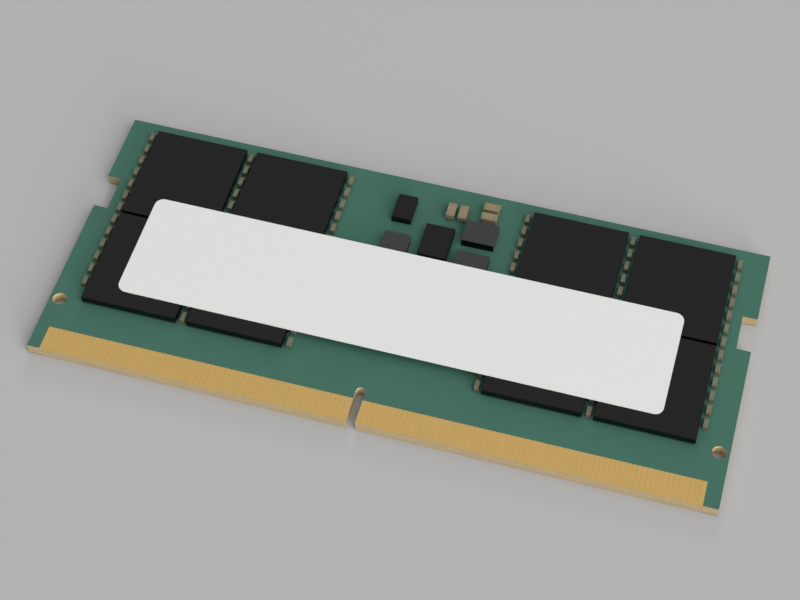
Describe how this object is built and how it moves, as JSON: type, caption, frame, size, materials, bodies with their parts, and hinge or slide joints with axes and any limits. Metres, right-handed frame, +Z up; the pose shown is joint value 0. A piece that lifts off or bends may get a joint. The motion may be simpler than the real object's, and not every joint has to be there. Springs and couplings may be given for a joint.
{
  "type": "laptop memory module",
  "caption": "Flat laptop memory module: a thin circuit board with a gold contact edge, key slot and latch notches, black memory chips on one face and a blank white label.",
  "frame": {"origin": "centre of the underside, where the board's bottom face rests", "axes": "+X along the long edge, +Y from the contact edge to the rear edge, +Z up out of the chip side"},
  "size_m": [0.0676, 0.03, 0.0022],
  "materials": {
    "laminate": "matte, cut glass-epoxy edge",
    "solder_mask": "satin green lacquer",
    "contact_gold": "satin gold plating",
    "mould_black": "fine matte moulding compound",
    "substrate": "satin",
    "silicon": "polished",
    "solder": "satin tin",
    "end_cap": "dull tin plating",
    "ceramic_small": "matte fired ceramic",
    "ceramic_bulk": "matte fired ceramic",
    "core_grey": "matte pressed iron powder",
    "copper": "enamelled copper wire",
    "lead_frame": "tin-plated copper",
    "label_white": "matte coated paper"
  },
  "bodies": {
    "root": {"board_laminate": "laminate", "solder_mask_top": "solder_mask", "solder_mask_bottom": "solder_mask", "contacts_top_left": "contact_gold", "contacts_top_right": "contact_gold", "contacts_bottom_left": "contact_gold", "contacts_bottom_right": "contact_gold", "memory_1_mould": "mould_black", "memory_1_substrate": "substrate", "memory_1_die": "silicon", "memory_1_balls": "solder", "memory_2_mould": "mould_black", "memory_2_substrate": "substrate", "memory_2_die": "silicon", "memory_2_balls": "solder", "memory_3_mould": "mould_black", "memory_3_substrate": "substrate", "memory_3_die": "silicon", "memory_3_balls": "solder", "memory_4_mould": "mould_black", "memory_4_substrate": "substrate", "memory_4_die": "silicon", "memory_4_balls": "solder", "memory_5_mould": "mould_black", "memory_5_substrate": "substrate", "memory_5_die": "silicon", "memory_5_balls": "solder", "memory_6_mould": "mould_black", "memory_6_substrate": "substrate", "memory_6_die": "silicon", "memory_6_balls": "solder", "memory_7_mould": "mould_black", "memory_7_substrate": "substrate", "memory_7_die": "silicon", "memory_7_balls": "solder", "memory_8_mould": "mould_black", "memory_8_substrate": "substrate", "memory_8_die": "silicon", "memory_8_balls": "solder", "capacitors_left_ceramic": "ceramic_small", "capacitors_left_end_caps": "end_cap", "capacitors_right_ceramic": "ceramic_small", "capacitors_right_end_caps": "end_cap", "bulk_capacitors_ceramic": "ceramic_bulk", "bulk_capacitors_end_caps": "end_cap", "solder_fillets": "solder", "inductor_rear_core": "core_grey", "inductor_rear_winding": "copper", "inductor_rear_terminals": "lead_frame", "inductor_front_core": "core_grey", "inductor_front_winding": "copper", "inductor_front_terminals": "lead_frame", "inductor_left_core": "core_grey", "inductor_left_winding": "copper", "inductor_left_terminals": "lead_frame", "power_chip_body": "mould_black", "power_chip_leads": "lead_frame", "hub_chip_body": "mould_black", "hub_chip_leads": "lead_frame", "label": "label_white"}
  },
  "joints": []
}
